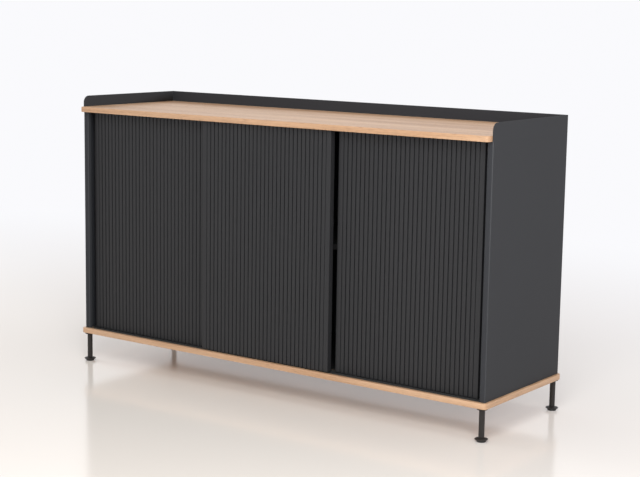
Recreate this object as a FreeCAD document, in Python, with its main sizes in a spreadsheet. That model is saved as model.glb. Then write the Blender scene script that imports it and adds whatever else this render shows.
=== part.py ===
"""A sideboard on four slim legs: a folded steel sheet round an oak top and an oak base,
closed by three ribbed doors that slide past each other on two tracks.

X runs along the front to the right, Y from front to back and Z up. The origin is on the
floor, midway between the two sides and between the top's front edge and the rear feet.
Lengths are in millimetres.
"""

import FreeCAD, Part
import math
import operator
import os
from types import SimpleNamespace

import Sketcher
from FreeCAD import Placement, Rotation, Vector

SIZES = {
    # Folded sheet
    "overall_height": 848,
    "shell_width": 1467,
    "shell_depth": 420,
    "sheet": 3,
    "bend_radius": 3.5,
    "flange_width": 18,
    "return_depth": 12,
    "return_radius": 3.5,
    "rim_height": 33,
    "rim_corner": 20,
    # Oak boards
    "board_thickness": 16,
    "base_overhang": 8,
    "base_front_overhang": 11,
    "base_back_overhang": 5,
    "base_corner": 12,
    "top_overhang": 20,
    "top_corner": 11,
    "top_back_corner": 3,
    "edge_ease": 1.2,
    "board_fit": 0.2,
    # Inner panels and shelves
    "side_thickness": 12,
    "divider_thickness": 16,
    "shelf_thickness": 16,
    "shelf_level": 452,
    "shelf_setback": 25,
    "shelf_back_gap": 6,
    "shelf_end_gap": 1,
    "panel_ease": 0.8,
    # Sliding doors
    "door_width": 465.5,
    "door_thickness": 18,
    "door_gap": 2,
    "door_clearance": 2.5,
    "door_reveal": 27,
    "middle_shift": -11.75,
    "right_shift": -7,
    "carcass_gap": 4.5,
    "stile_width": 15.75,
    "stile_round": 1.6,
    "slat_count": 30,
    "slat_depth": 4.5,
    "slat_groove": 2.5,
    "slat_round": 2,
    # Tracks, glides and stops
    "track_width": 19.4,
    "track_height": 8,
    "track_side": 6.7,
    "track_wall": 1.5,
    "track_inset": 20,
    "glide_length": 40,
    "glide_inset": 45,
    "glide_seat": 12,
    "blade_side_gap": 0.5,
    "guide_reach": 4.5,
    "stop_length": 20,
    "stop_height": 5,
    "stop_gap": 0.3,
    # Legs and feet
    "leg_height": 92,
    "leg_diameter": 16,
    "leg_side_inset": 11.5,
    "leg_depth_inset": 7.5,
    "collar_diameter": 30,
    "collar_thickness": 4,
    "stud_diameter": 8,
    "stud_length": 10,
    "insert_diameter": 12,
    "insert_length": 12,
    "foot_diameter": 36,
    "foot_neck": 21,
    "foot_height": 10.5,
    "foot_rim": 1.6,
    "foot_rim_level": 6.6,
    "socket_depth": 4.5,
    "pad_diameter": 25,
    "pad_thickness": 3.5,
    "pad_ease": 0.6,
    # Fasteners
    "screw_diameter": 5,
    "screw_length": 45,
    "screw_head": 9,
    "screw_head_height": 4,
    "dowel_diameter": 6,
    "dowel_length": 30,
    "dowel_rise": 9.5,
    "joint_inset": 60,
    "weld_stud_diameter": 5,
    "weld_stud_inset": 60,
    "weld_stud_low": 90,
    "weld_stud_high": 90,
    "nut_diameter": 10,
    "nut_thickness": 4,
    "pin_diameter": 5,
    "pin_depth": 7,
    "pin_inset": 45,
    "tab_length": 9,
    "tab_width": 8,
    "tab_height": 4,
    "hole_gap": 0.1,
    "blind_gap": 0.5,
}

OPERATIONS = {"+": operator.add, "-": operator.sub, "*": operator.mul, "/": operator.truediv}


class Size:
    """A number together with the spreadsheet formula that gives it."""

    def __init__(self, value, formula):
        self.value = value
        self.formula = formula

    def __add__(self, other):
        return combine(self, "+", other)

    def __radd__(self, other):
        return combine(other, "+", self)

    def __sub__(self, other):
        return combine(self, "-", other)

    def __mul__(self, other):
        return combine(self, "*", other)

    def __rmul__(self, other):
        return combine(other, "*", self)

    def __truediv__(self, other):
        return combine(self, "/", other)

    def __neg__(self):
        return combine(0, "-", self)


def as_size(number):
    return number if isinstance(number, Size) else Size(float(number), str(number))


def combine(left, sign, right):
    left, right = as_size(left), as_size(right)
    value = OPERATIONS[sign](left.value, right.value)
    return Size(value, f"({left.formula} {sign} {right.formula})")


doc = FreeCAD.newDocument("sideboard")
sheet = doc.addObject("Spreadsheet::Sheet", "sizes")
for line, (alias, number) in enumerate(SIZES.items(), 1):
    sheet.set(f"A{line}", alias)
    sheet.set(f"B{line}", str(number))
    sheet.setAlias(f"B{line}", alias)
doc.recompute()
s = SimpleNamespace(**{alias: Size(float(number), f"sizes.{alias}") for alias, number in SIZES.items()})

# Planes and lines that several pieces share
half_width = s.shell_width / 2
rear_reach = s.foot_diameter / 2 - s.leg_depth_inset
shell_front = (s.top_overhang - rear_reach - s.shell_depth) / 2
shell_back = shell_front + s.shell_depth
base_top = s.leg_height + s.board_thickness
top_face = s.overall_height - s.rim_height
top_under = top_face - s.board_thickness
inner_side = half_width - s.sheet
inner_back = shell_back - s.sheet
carcass_side = inner_side - s.side_thickness
carcass_front = shell_front + 2 * s.door_thickness + s.door_gap + s.carcass_gap
side_back = shell_back - s.bend_radius
carcass_height = top_under - base_top
bay_width = (2 * carcass_side - 2 * s.divider_thickness) / 3
divider_centre = (bay_width + s.divider_thickness) / 2
shelf_front = carcass_front + s.shelf_setback
shelf_back = inner_back - s.shelf_back_gap
leg_side = half_width - s.leg_side_inset
leg_front = shell_front + s.leg_depth_inset
leg_back = shell_back - s.leg_depth_inset
leg_places = {
    "front_left": (-leg_side, leg_front),
    "front_right": (leg_side, leg_front),
    "rear_left": (-leg_side, leg_back),
    "rear_right": (leg_side, leg_back),
}
joint_front = carcass_front + s.joint_inset
joint_back = side_back - s.joint_inset
pin_rows = (shelf_front + s.pin_inset, shelf_back - s.pin_inset)
pin_level = s.shelf_level - s.pin_diameter / 2
stud_rows = (carcass_front + s.weld_stud_inset, side_back - s.weld_stud_inset)
stud_levels = (base_top + s.weld_stud_low, top_under - s.weld_stud_high)

# Door planes and tracks
door_panel = s.door_thickness - s.slat_depth
front_door = shell_front
rear_door = shell_front + s.door_thickness + s.door_gap
door_bottom = base_top + s.door_clearance
door_height = carcass_height - 2 * s.door_clearance
track_half = half_width - s.track_inset
track_offset = s.slat_depth + door_panel / 2 - s.track_width / 2
track_floor = base_top - s.track_height + s.track_wall
blade_thickness = s.track_width - 2 * s.track_side - 2 * s.blade_side_gap
tracks = {"front": front_door + track_offset, "rear": rear_door + track_offset}
doors = {
    "left": (s.door_reveal - half_width, rear_door),
    "middle": (s.middle_shift - s.door_width / 2, front_door),
    "right": (half_width - s.door_reveal - s.door_width + s.right_shift, rear_door),
}

nodes = []


def bind(thing, name, size):
    thing.setExpression(name, as_size(size).formula)


def place(thing, x, y, z):
    for axis, size in zip("xyz", (x, y, z)):
        bind(thing, f"Placement.Base.{axis}", size)


def node(thing, label):
    """Names a finished sub-part and keeps it for export."""
    thing.Label = label
    nodes.append(thing)
    return thing


def new_body(label, x=0, y=0, z=0, many=False):
    body = doc.addObject("PartDesign::Body", label)
    body.AllowCompound = many
    place(body, x, y, z)
    return node(body, label)


def new_sketch(body, role, offset=0):
    sketch = body.newObject("Sketcher::SketchObject", "outline")
    plane = next(feature for feature in body.Origin.OriginFeatures if feature.Role == role)
    sketch.AttachmentSupport = (plane, [""])
    sketch.MapMode = "FlatFace"
    bind(sketch, "AttachmentOffset.Base.z", offset)
    return sketch


def fix(sketch, kind, size, *where):
    """Adds a measured constraint that follows its formula."""
    index = sketch.addConstraint(Sketcher.Constraint(kind, *where, as_size(size).value))
    bind(sketch, f"Constraints[{index}]", size)


def point(x, y):
    return Vector(as_size(x).value, as_size(y).value, 0)


def square_outline(sketch, corners):
    """Closes an outline of level and upright sides. A corner is (x, y) or (x, y, radius)."""
    count = len(corners)
    tips = [point(*corner[:2]) for corner in corners]
    radii = [corner[2] if len(corner) > 2 else None for corner in corners]
    starts, ends = [], []
    for i, tip in enumerate(tips):
        back = (tips[i - 1] - tip).normalize()
        ahead = (tips[(i + 1) % count] - tip).normalize()
        reach = radii[i].value if radii[i] else 0
        ends.append(tip + back * reach)
        starts.append(tip + ahead * reach)
    lines = []
    for i in range(count):
        line = sketch.addGeometry(Part.LineSegment(starts[i], ends[(i + 1) % count]), False)
        lines.append(line)
        level = abs(tips[i].y - tips[(i + 1) % count].y) < abs(tips[i].x - tips[(i + 1) % count].x)
        sketch.addConstraint(Sketcher.Constraint("Horizontal" if level else "Vertical", line))
        fix(sketch, "DistanceY" if level else "DistanceX", corners[i][1 if level else 0], line, 1)
    for i in range(count):
        if radii[i] is None:
            sketch.addConstraint(Sketcher.Constraint("Coincident", lines[i - 1], 2, lines[i], 1))
            continue
        centre = starts[i] + ends[i] - tips[i]
        left_turn = (tips[i] - tips[i - 1]).cross(tips[(i + 1) % count] - tips[i]).z > 0
        begin = (ends[i] if left_turn else starts[i]) - centre
        angle = math.atan2(begin.y, begin.x)
        circle = Part.Circle(centre, Vector(0, 0, 1), radii[i].value)
        arc = sketch.addGeometry(Part.ArcOfCircle(circle, angle, angle + math.pi / 2), False)
        first, last = (1, 2) if left_turn else (2, 1)
        sketch.addConstraint(Sketcher.Constraint("Tangent", lines[i - 1], 2, arc, first))
        sketch.addConstraint(Sketcher.Constraint("Tangent", arc, last, lines[i], 1))
        fix(sketch, "Radius", radii[i], arc)


def rectangle(sketch, x0, y0, x1, y1):
    square_outline(sketch, [(x0, y0), (x1, y0), (x1, y1), (x0, y1)])


def polygon(sketch, corners):
    """Closes an outline of straight sides at any angle."""
    count = len(corners)
    lines = []
    for i in range(count):
        line = Part.LineSegment(point(*corners[i]), point(*corners[(i + 1) % count]))
        lines.append(sketch.addGeometry(line, False))
    for i, (x, y) in enumerate(corners):
        sketch.addConstraint(Sketcher.Constraint("Coincident", lines[i - 1], 2, lines[i], 1))
        fix(sketch, "DistanceX", x, lines[i], 1)
        fix(sketch, "DistanceY", y, lines[i], 1)


def circles(sketch, centres, radius):
    for x, y in centres:
        ring = sketch.addGeometry(Part.Circle(point(x, y), Vector(0, 0, 1), as_size(radius).value), False)
        fix(sketch, "DistanceX", x, ring, 3)
        fix(sketch, "DistanceY", y, ring, 3)
        fix(sketch, "Radius", radius, ring)


def pad(body, sketch, length, backward=False):
    feature = body.newObject("PartDesign::Pad", "pad")
    feature.Profile = sketch
    feature.Reversed = backward
    bind(feature, "Length", length)
    doc.recompute()
    return feature


def pocket(body, sketch, depth, along_normal=False):
    """Cuts against the sketch's normal, or along it, and stops if nothing was cut."""
    volume = body.Shape.Volume
    feature = body.newObject("PartDesign::Pocket", "pocket")
    feature.Profile = sketch
    feature.Reversed = along_normal
    bind(feature, "Length", depth)
    doc.recompute()
    if not body.Shape.Volume < volume:
        raise RuntimeError(f"{body.Label}: a pocket cuts nothing")
    return feature


def drill(body, role, level, centres, radius, depth, along_normal=False):
    sketch = new_sketch(body, role, level)
    circles(sketch, centres, radius)
    pocket(body, sketch, depth, along_normal)


def turn(body, corners):
    """Turns a half profile of (radius, height) points about the upright axis."""
    sketch = new_sketch(body, "XZ_Plane")
    polygon(sketch, corners)
    feature = body.newObject("PartDesign::Revolution", "turned")
    feature.Profile = sketch
    feature.ReferenceAxis = (sketch, ["V_Axis"])
    feature.Angle = 360
    doc.recompute()
    return feature


def ease(body, feature, chosen, radius):
    """Rounds the edges of a feature whose middle point passes a test."""
    names = []
    for i, edge in enumerate(feature.Shape.Edges, 1):
        first, last = edge.ParameterRange
        if chosen(edge.valueAt((first + last) / 2)):
            names.append(f"Edge{i}")
    rounded = body.newObject("PartDesign::Fillet", "eased")
    rounded.Base = (feature, names)
    bind(rounded, "Radius", radius)
    doc.recompute()
    return rounded


def row(body, feature, sketch, axis, count, length):
    """Repeats a feature along one axis of its sketch."""
    pattern = body.newObject("PartDesign::LinearPattern", "row")
    pattern.Originals = [feature]
    pattern.Direction = (sketch, [axis])
    bind(pattern, "Length", length)
    bind(pattern, "Occurrences", count)
    body.Tip = pattern
    doc.recompute()


def near(number, size):
    return abs(number - as_size(size).value) < 0.01


def box(x0, y0, z0, x1, y1, z1):
    block = doc.addObject("Part::Box", "block")
    for name, length in zip(("Length", "Width", "Height"), (x1 - x0, y1 - y0, z1 - z0)):
        bind(block, name, length)
    place(block, x0, y0, z0)
    return block


def cylinder(x, y, z, radius, length, sideways=False):
    """A cylinder that rises along Z, or runs along X where it lies sideways."""
    rod = doc.addObject("Part::Cylinder", "rod")
    bind(rod, "Radius", radius)
    bind(rod, "Height", length)
    if sideways:
        rod.Placement = Placement(Vector(), Rotation(Vector(0, 1, 0), 90))
    place(rod, x, y, z)
    return rod


def fuse(first, second):
    joined = doc.addObject("Part::Fuse", "joined")
    joined.Base = first
    joined.Tool = second
    return joined


def cut(first, second):
    opened = doc.addObject("Part::Cut", "opened")
    opened.Base = first
    opened.Tool = second
    return opened


def group(label, members):
    compound = doc.addObject("Part::Compound", label)
    compound.Links = members
    return node(compound, label)


def make_shell():
    """One sheet folded round the sides and back, with a flange and a lip turned in at each front edge."""
    body = new_body("steel_shell")
    inner_bend = s.bend_radius - s.sheet
    inner_return = s.return_radius - s.sheet
    lip = half_width - s.flange_width
    lip_end = shell_front + s.return_depth
    inner_front = shell_front + s.sheet
    plan = new_sketch(body, "XY_Plane", base_top)
    square_outline(plan, [
        (lip, lip_end),
        (lip, shell_front, s.return_radius),
        (half_width, shell_front, s.bend_radius),
        (half_width, shell_back, s.bend_radius),
        (-half_width, shell_back, s.bend_radius),
        (-half_width, shell_front, s.bend_radius),
        (-lip, shell_front, s.return_radius),
        (-lip, lip_end),
        (-lip - s.sheet, lip_end),
        (-lip - s.sheet, inner_front, inner_return),
        (-inner_side, inner_front, inner_bend),
        (-inner_side, inner_back, inner_bend),
        (inner_side, inner_back, inner_bend),
        (inner_side, inner_front, inner_bend),
        (lip + s.sheet, inner_front, inner_return),
        (lip + s.sheet, lip_end),
    ])
    pad(body, plan, carcass_height)
    rim = new_sketch(body, "XY_Plane", top_under)
    square_outline(rim, [
        (inner_side, shell_front),
        (half_width, shell_front),
        (half_width, shell_back, s.bend_radius),
        (-half_width, shell_back, s.bend_radius),
        (-half_width, shell_front),
        (-inner_side, shell_front),
        (-inner_side, inner_back, inner_bend),
        (inner_side, inner_back, inner_bend),
    ])
    raised = pad(body, rim, s.overall_height - top_under)

    def rim_tip(middle):
        return near(middle.y, shell_front) and near(middle.z, s.overall_height)

    ease(body, raised, rim_tip, s.rim_corner)


def track_slot(body, level, upward):
    """One wide groove that takes both tracks of a board."""
    sketch = new_sketch(body, "XY_Plane", level)
    rectangle(sketch, -track_half, tracks["front"], track_half, tracks["rear"] + s.track_width)
    pocket(body, sketch, s.track_height, upward)


def panel_joints():
    """Where the upright panels are joined to the boards above and below them."""
    side_centre = inner_side - s.side_thickness / 2
    centres = (-side_centre, -divider_centre, divider_centre, side_centre)
    return [(x, y) for x in centres for y in (joint_front, joint_back)]


def make_top_board():
    body = new_body("top_board")
    side = inner_side - s.board_fit
    front = shell_front - s.top_overhang
    back = inner_back - s.board_fit
    plan = new_sketch(body, "XY_Plane", top_under)
    square_outline(plan, [
        (-side, front, s.top_corner),
        (side, front, s.top_corner),
        (side, back, s.top_back_corner),
        (-side, back, s.top_back_corner),
    ])
    slab = pad(body, plan, s.board_thickness)

    def outer_edge(middle):
        return near(middle.z, top_face) or near(middle.z, top_under)

    ease(body, slab, outer_edge, s.edge_ease)
    track_slot(body, top_under, upward=True)
    depth = s.dowel_rise + s.blind_gap
    drill(body, "XY_Plane", top_under, panel_joints(), s.dowel_diameter / 2 + s.hole_gap, depth, True)


def make_base_board():
    body = new_body("base_board")
    side = half_width + s.base_overhang
    front = shell_front - s.base_front_overhang
    back = shell_back + s.base_back_overhang
    plan = new_sketch(body, "XY_Plane", s.leg_height)
    square_outline(plan, [
        (-side, front, s.base_corner),
        (side, front, s.base_corner),
        (side, back, s.base_corner),
        (-side, back, s.base_corner),
    ])
    slab = pad(body, plan, s.board_thickness)

    def outer_edge(middle):
        return near(middle.z, base_top) or near(middle.z, s.leg_height)

    ease(body, slab, outer_edge, s.edge_ease)
    track_slot(body, base_top, upward=False)
    insert_hole = s.insert_diameter / 2 + s.hole_gap
    insert_depth = s.insert_length + s.blind_gap
    drill(body, "XY_Plane", s.leg_height, leg_places.values(), insert_hole, insert_depth, True)
    screw_hole = s.screw_diameter / 2 + s.hole_gap
    drill(body, "XY_Plane", s.leg_height, panel_joints(), screw_hole, s.board_thickness, True)
    head_hole = s.screw_head / 2 + s.hole_gap
    drill(body, "XY_Plane", s.leg_height, panel_joints(), head_hole, s.screw_head_height, True)


def make_upright(label, x, thickness, back, pin_faces, studs=False):
    """An upright panel between base and top, drilled for its screws, dowels and shelf pins."""
    body = new_body(label, x, 0, base_top)
    plan = new_sketch(body, "XY_Plane")
    rectangle(plan, as_size(0), carcass_front, thickness, back)
    slab = pad(body, plan, carcass_height)
    front_edges = (0, thickness.value)

    def front_edge(middle):
        return near(middle.y, carcass_front) and any(near(middle.x, place) for place in front_edges)

    ease(body, slab, front_edge, s.panel_ease)
    joints = [(thickness / 2, y) for y in (joint_front, joint_back)]
    screw_depth = s.screw_length - s.board_thickness + s.blind_gap
    drill(body, "XY_Plane", 0, joints, s.screw_diameter / 2 + s.hole_gap, screw_depth, True)
    dowel_depth = s.dowel_length - s.dowel_rise
    drill(body, "XY_Plane", carcass_height, joints, s.dowel_diameter / 2 + s.hole_gap, dowel_depth)
    pins = [(y, pin_level - base_top) for y in pin_rows]
    pin_hole = s.pin_diameter / 2 + s.hole_gap
    pin_depth = s.pin_depth + s.blind_gap
    if "left" in pin_faces:
        drill(body, "YZ_Plane", 0, pins, pin_hole, pin_depth, True)
    if "right" in pin_faces:
        drill(body, "YZ_Plane", thickness, pins, pin_hole, pin_depth)
    if studs:
        holes = [(y, z - base_top) for y in stud_rows for z in stud_levels]
        drill(body, "YZ_Plane", 0, holes, s.weld_stud_diameter / 2 + s.hole_gap, thickness, True)


def make_uprights():
    make_upright("side_panel_left", -inner_side, s.side_thickness, side_back, ["right"], True)
    make_upright("side_panel_right", carcass_side, s.side_thickness, side_back, ["left"], True)
    faces = ["left", "right"]
    half = s.divider_thickness / 2
    make_upright("divider_left", -divider_centre - half, s.divider_thickness, inner_back, faces)
    make_upright("divider_right", divider_centre - half, s.divider_thickness, inner_back, faces)


def make_shelves():
    tabs = []
    pitch = bay_width + s.divider_thickness
    for label, step in (("left", -1), ("middle", 0), ("right", 1)):
        bay_left = step * pitch - bay_width / 2
        bay_right = bay_left + bay_width
        body = new_body(f"shelf_{label}", bay_left + s.shelf_end_gap, 0, s.shelf_level)
        plan = new_sketch(body, "XY_Plane")
        rectangle(plan, as_size(0), shelf_front, bay_width - 2 * s.shelf_end_gap, shelf_back)
        slab = pad(body, plan, s.shelf_thickness)

        def front_edge(middle):
            level = near(middle.z, 0) or near(middle.z, s.shelf_thickness)
            return level and near(middle.y, shelf_front)

        ease(body, slab, front_edge, s.panel_ease)
        for y in pin_rows:
            tabs.append(shelf_pin(bay_left - s.pin_depth, bay_left, bay_left + s.tab_length, y))
            tabs.append(shelf_pin(bay_right, bay_right - s.tab_length, bay_right, y))
    group("shelf_pins", tabs)


def shelf_pin(peg_start, tab_start, tab_end, y):
    """A peg that sits in a panel, with a flat tab that carries the shelf."""
    peg = cylinder(peg_start, y, pin_level, s.pin_diameter / 2, s.pin_depth, sideways=True)
    half = s.tab_width / 2
    tab = box(tab_start, y - half, s.shelf_level - s.tab_height, tab_end, y + half, s.shelf_level)
    return fuse(peg, tab)


def make_tracks():
    """Channels let into the base and the top, one pair for each door plane."""
    wide, tall, side, wall = s.track_width, s.track_height, s.track_side, s.track_wall
    zero = as_size(0)
    for level, z in (("lower", base_top - tall), ("upper", top_under)):
        for plane, y in tracks.items():
            body = new_body(f"track_{level}_{plane}", -track_half, y, z)
            section = new_sketch(body, "YZ_Plane")
            mouth, floor = (tall, wall) if level == "lower" else (zero, tall - wall)
            end = zero if level == "lower" else tall
            square_outline(section, [
                (zero, end),
                (wide, end),
                (wide, mouth),
                (wide - side, mouth),
                (wide - side, floor),
                (side, floor),
                (side, mouth),
                (zero, mouth),
            ])
            pad(body, section, 2 * track_half)


def make_stops():
    """Rubber blocks in the rear track that stop the two outer doors when they are shut."""
    y0 = tracks["rear"] + s.track_side
    y1 = tracks["rear"] + s.track_width - s.track_side
    z1 = track_floor + s.stop_height
    right_end = half_width - s.door_reveal - s.glide_inset + s.stop_gap
    left_end = -right_end
    group("door_stops", [
        box(left_end - s.stop_length, y0, track_floor, left_end, y1, z1),
        box(right_end, y0, track_floor, right_end + s.stop_length, y1, z1),
    ])


def door_notches(width):
    """The two stretches along a door's edge that its glides and guides take up."""
    inset, length = s.glide_inset, s.glide_length
    return (inset, inset + length), (width - inset - length, width - inset)


def make_door_panel(label, x, y):
    body = new_body(label, x, y + s.slat_depth, door_bottom)
    elevation = new_sketch(body, "XZ_Plane")
    left, right = s.stile_width, s.door_width - s.stile_width
    (a0, a1), (b0, b1) = door_notches(s.door_width)
    low, high = s.glide_seat, door_height - s.glide_seat
    zero = as_size(0)
    square_outline(elevation, [
        (left, zero), (a0, zero), (a0, low), (a1, low), (a1, zero),
        (b0, zero), (b0, low), (b1, low), (b1, zero), (right, zero),
        (right, door_height), (b1, door_height), (b1, high), (b0, high), (b0, door_height),
        (a1, door_height), (a1, high), (a0, high), (a0, door_height), (left, door_height),
    ])
    pad(body, elevation, door_panel, backward=True)


def make_slats(label, x, y):
    """Upright ribs with rounded front edges, glued side by side to the panel."""
    body = new_body(label, x, y, door_bottom, many=True)
    plan = new_sketch(body, "XY_Plane")
    pitch = (s.door_width - 2 * s.stile_width) / s.slat_count
    left = s.stile_width + s.slat_groove / 2
    right = s.stile_width + pitch - s.slat_groove / 2
    square_outline(plan, [
        (left, as_size(0), s.slat_round),
        (right, as_size(0), s.slat_round),
        (right, s.slat_depth),
        (left, s.slat_depth),
    ])
    slat = pad(body, plan, door_height)
    row(body, slat, plan, "H_Axis", s.slat_count, pitch * (s.slat_count - 1))


def make_stile(label, x, y):
    body = new_body(label, x, y, door_bottom)
    plan = new_sketch(body, "XY_Plane")
    square_outline(plan, [
        (as_size(0), as_size(0), s.stile_round),
        (s.stile_width, as_size(0), s.stile_round),
        (s.stile_width, s.door_thickness),
        (as_size(0), s.door_thickness),
    ])
    pad(body, plan, door_height)


def make_runners(label, x, y, upper):
    """Two blocks set in the panel's edge, each with a blade that runs in the track."""
    level = door_bottom + door_height if upper else door_bottom
    body = new_body(label, x, y + s.slat_depth, level, many=True)
    section = new_sketch(body, "YZ_Plane", s.glide_inset)
    zero = as_size(0)
    near_side = (door_panel - blade_thickness) / 2
    far_side = near_side + blade_thickness
    seat = -s.glide_seat if upper else s.glide_seat
    tip = s.door_clearance + s.guide_reach if upper else track_floor - door_bottom
    square_outline(section, [
        (zero, zero), (near_side, zero), (near_side, tip), (far_side, tip),
        (far_side, zero), (door_panel, zero), (door_panel, seat), (zero, seat),
    ])
    block = pad(body, section, s.glide_length)
    spacing = s.door_width - 2 * s.glide_inset - s.glide_length
    row(body, block, section, "N_Axis", as_size(2), spacing)


def make_doors():
    for side, (x, y) in doors.items():
        make_door_panel(f"{side}_door_panel", x, y)
        make_slats(f"{side}_door_slats", x, y)
        make_stile(f"{side}_door_stile_left", x, y)
        make_stile(f"{side}_door_stile_right", x + s.door_width - s.stile_width, y)
        make_runners(f"{side}_door_glides", x, y, upper=False)
        make_runners(f"{side}_door_guides", x, y, upper=True)


def make_leg(label, x, y):
    """A round bar with a threaded end at the top and a spigot that sits in the foot."""
    body = new_body(label, x, y)
    bar, stud = s.leg_diameter / 2, s.stud_diameter / 2
    shoulder = s.leg_height - s.collar_thickness
    thread_end = s.leg_height + s.stud_length
    spigot_end = s.foot_height - s.socket_depth
    zero = as_size(0)
    turn(body, [
        (zero, spigot_end), (stud, spigot_end), (stud, s.foot_height),
        (bar, s.foot_height), (bar, shoulder), (stud, shoulder),
        (stud, thread_end), (zero, thread_end),
    ])


def make_foot(label, x, y):
    """A thin dished disc that spreads the load, with a socket for the leg."""
    body = new_body(label, x, y)
    rim, neck = s.foot_diameter / 2, s.foot_neck / 2
    socket = s.stud_diameter / 2 + s.hole_gap
    floor = s.foot_height - s.socket_depth
    zero = as_size(0)
    turn(body, [
        (zero, s.pad_thickness), (s.pad_diameter / 2, s.pad_thickness),
        (rim, s.foot_rim_level), (rim, s.foot_rim_level + s.foot_rim),
        (neck, s.foot_height), (socket, s.foot_height), (socket, floor), (zero, floor),
    ])


def make_legs():
    collars, inserts = [], []
    bore = s.stud_diameter / 2 + s.hole_gap
    for corner, (x, y) in leg_places.items():
        make_leg(f"leg_{corner}", x, y)
        make_foot(f"foot_{corner}", x, y)
        make_pad(f"glide_pad_{corner}", x, y)
        low = s.leg_height - s.collar_thickness
        disc = cylinder(x, y, low, s.collar_diameter / 2, s.collar_thickness)
        collars.append(cut(disc, cylinder(x, y, low, bore, s.collar_thickness)))
        sleeve = cylinder(x, y, s.leg_height, s.insert_diameter / 2, s.insert_length)
        inserts.append(cut(sleeve, cylinder(x, y, s.leg_height, bore, s.insert_length)))
    group("leg_collars", collars)
    group("leg_inserts", inserts)


def make_pad(label, x, y):
    body = new_body(label, x, y)
    edge = s.pad_diameter / 2
    turn(body, [
        (as_size(0), as_size(0)), (edge - s.pad_ease, as_size(0)), (edge, s.pad_ease),
        (edge, s.pad_thickness), (as_size(0), s.pad_thickness),
    ])


def make_fasteners():
    screws, dowels, studs, nuts = [], [], [], []
    for x, y in panel_joints():
        head = cylinder(x, y, s.leg_height, s.screw_head / 2, s.screw_head_height)
        shank = cylinder(x, y, s.leg_height, s.screw_diameter / 2, s.screw_length)
        screws.append(fuse(head, shank))
        level = top_under + s.dowel_rise - s.dowel_length
        dowels.append(cylinder(x, y, level, s.dowel_diameter / 2, s.dowel_length))
    reach = s.side_thickness + s.nut_thickness
    bore = s.weld_stud_diameter / 2 + s.hole_gap
    ends = ((-inner_side, -carcass_side), (inner_side - reach, carcass_side - s.nut_thickness))
    for stud_start, nut_start in ends:
        for y in stud_rows:
            for z in stud_levels:
                studs.append(cylinder(stud_start, y, z, s.weld_stud_diameter / 2, reach, sideways=True))
                disc = cylinder(nut_start, y, z, s.nut_diameter / 2, s.nut_thickness, sideways=True)
                nuts.append(cut(disc, cylinder(nut_start, y, z, bore, s.nut_thickness, sideways=True)))
    group("panel_screws", screws)
    group("top_dowels", dowels)
    group("shell_studs", studs)
    group("shell_nuts", nuts)


def write_parts():
    """Checks every object, then writes one file for each sub-part."""
    doc.recompute()
    for thing in doc.Objects:
        if "Invalid" in thing.State or "Error" in thing.State:
            raise RuntimeError(f"{thing.Label} failed: {thing.State}")
    for thing in nodes:
        if thing.Shape.isNull() or not thing.Shape.isValid():
            raise RuntimeError(f"{thing.Label} has no valid shape")
    os.makedirs("parts", exist_ok=True)
    for thing in nodes:
        thing.Shape.exportStep(f"parts/{thing.Label}.step")
        print(thing.Label, len(thing.Shape.Solids), "solids", round(thing.Shape.Volume), "mm3")


make_shell()
make_top_board()
make_base_board()
make_uprights()
make_shelves()
make_tracks()
make_stops()
make_doors()
make_legs()
make_fasteners()
write_parts()
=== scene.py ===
"""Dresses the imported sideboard: folded steel shell, oak boards, ribbed sliding doors, slim legs.

X runs along the front to the right, Y from front to back and Z up. Lengths are in metres.
"""

import math

import bmesh
import bpy
from bpy.props import FloatProperty, FloatVectorProperty, IntProperty, PointerProperty
from mathutils import Matrix, Vector


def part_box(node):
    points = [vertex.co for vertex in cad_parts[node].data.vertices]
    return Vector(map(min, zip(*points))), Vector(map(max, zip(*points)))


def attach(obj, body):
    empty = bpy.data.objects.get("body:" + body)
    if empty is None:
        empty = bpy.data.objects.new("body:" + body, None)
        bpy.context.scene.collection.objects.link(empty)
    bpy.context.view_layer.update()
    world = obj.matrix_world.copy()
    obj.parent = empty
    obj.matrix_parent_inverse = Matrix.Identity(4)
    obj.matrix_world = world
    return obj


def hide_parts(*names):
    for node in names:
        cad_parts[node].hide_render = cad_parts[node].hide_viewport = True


bl_info = {
    "name": "Sideboard with ribbed sliding doors",
    "version": (1, 0, 0),
    "blender": (4, 5, 0),
    "location": "View3D > Sidebar > Sideboard",
    "description": "Builds the finished pieces of a sideboard over its packed frame",
    "category": "Object",
}

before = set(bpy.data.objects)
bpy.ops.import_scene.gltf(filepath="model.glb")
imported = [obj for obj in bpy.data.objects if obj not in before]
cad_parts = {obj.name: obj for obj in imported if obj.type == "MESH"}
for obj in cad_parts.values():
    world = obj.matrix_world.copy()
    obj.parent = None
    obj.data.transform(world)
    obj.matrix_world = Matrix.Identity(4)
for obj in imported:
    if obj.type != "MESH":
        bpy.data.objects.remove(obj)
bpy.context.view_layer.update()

# Doors, corners and CAD nodes that are handled alike; the uprights go from left to right
SIDES = ("left", "middle", "right")
CORNERS = ("front_left", "front_right", "rear_left", "rear_right")
UPRIGHTS = ("side_panel_left", "divider_left", "divider_right", "side_panel_right")
SHELVES = ("shelf_left", "shelf_middle", "shelf_right")
TRACKS = ("track_lower_front", "track_lower_rear", "track_upper_front", "track_upper_rear")
FASTENERS = ("panel_screws", "shell_studs", "shell_nuts", "shelf_pins")

# Steps of a bend and of an eased edge, and sides of a pit and of a turned piece
BEND_STEPS = 12
EASE_STEPS = 5
PIT_SIDES = 28
LATHE_SIDES = 48
QUARTER_TURN = math.pi / 2

# An edge that turns by more than this stays crisp
CREASE = math.radians(40)

# Points that lie nearer than this become one: in the folded sheet, and in a CAD mesh
SHEET_WELD = 1e-7
SOLID_WELD = 1e-6

# How much the tone and the roughness of a coat vary over the surface
TONE_DRIFT = 0.10
GLOSS_SPREAD = 0.16

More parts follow.
